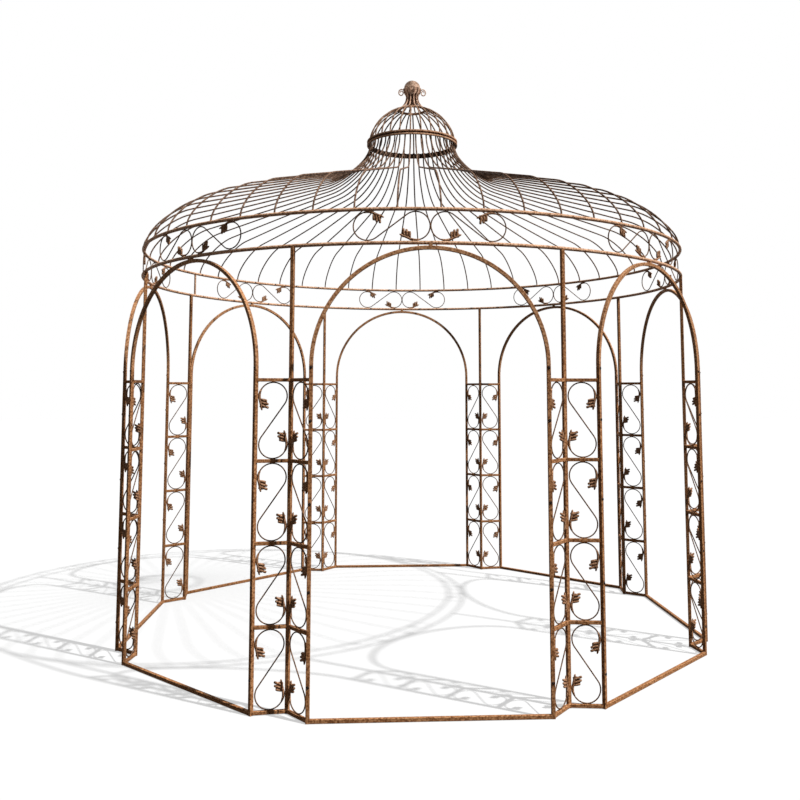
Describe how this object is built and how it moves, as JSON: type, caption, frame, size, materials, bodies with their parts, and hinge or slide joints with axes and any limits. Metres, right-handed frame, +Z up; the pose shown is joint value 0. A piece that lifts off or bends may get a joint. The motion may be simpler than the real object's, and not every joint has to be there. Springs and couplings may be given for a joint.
{
  "type": "garden gloriette",
  "caption": "Open garden gloriette of rusted steel bar: folded lattice piers, round-arched bays, a scrolled frieze and a ribbed bulging roof with a small lantern.",
  "frame": {"origin": "centre of the footprint at ground level", "axes": "+Z up along the axis of the roof, -Y out through the middle of bay 1"},
  "size_m": [3.72, 3.72, 3.859],
  "materials": {
    "pier_steel": "rusted brown patina, matt",
    "arch_steel": "rusted brown patina, matt",
    "sill_steel": "rusted brown patina, matt",
    "scroll_bar": "rusted brown patina, matt",
    "hoop_steel": "rusted brown patina, matt",
    "roof_rod": "rusted brown patina, matt",
    "crown_steel": "rusted brown patina, matt"
  },
  "bodies": {
    "root": {"pier_1": "pier_steel", "pier_2": "pier_steel", "pier_3": "pier_steel", "pier_4": "pier_steel", "pier_5": "pier_steel", "pier_6": "pier_steel", "pier_7": "pier_steel", "pier_8": "pier_steel", "arch_1": "arch_steel", "arch_2": "arch_steel", "arch_3": "arch_steel", "arch_4": "arch_steel", "arch_5": "arch_steel", "arch_6": "arch_steel", "arch_7": "arch_steel", "arch_8": "arch_steel", "sill_1": "sill_steel", "sill_2": "sill_steel", "sill_3": "sill_steel", "sill_4": "sill_steel", "sill_5": "sill_steel", "sill_6": "sill_steel", "sill_7": "sill_steel", "sill_8": "sill_steel", "frieze_1": "scroll_bar", "frieze_2": "scroll_bar", "frieze_3": "scroll_bar", "frieze_4": "scroll_bar", "frieze_5": "scroll_bar", "frieze_6": "scroll_bar", "frieze_7": "scroll_bar", "frieze_8": "scroll_bar", "lower_hoop": "hoop_steel", "upper_hoop": "hoop_steel", "hoop_joint": "hoop_steel", "roof_1": "roof_rod", "roof_2": "roof_rod", "roof_3": "roof_rod", "roof_4": "roof_rod", "collar": "hoop_steel", "lantern": "roof_rod", "neck": "crown_steel", "finial": "crown_steel"}
  },
  "joints": []
}
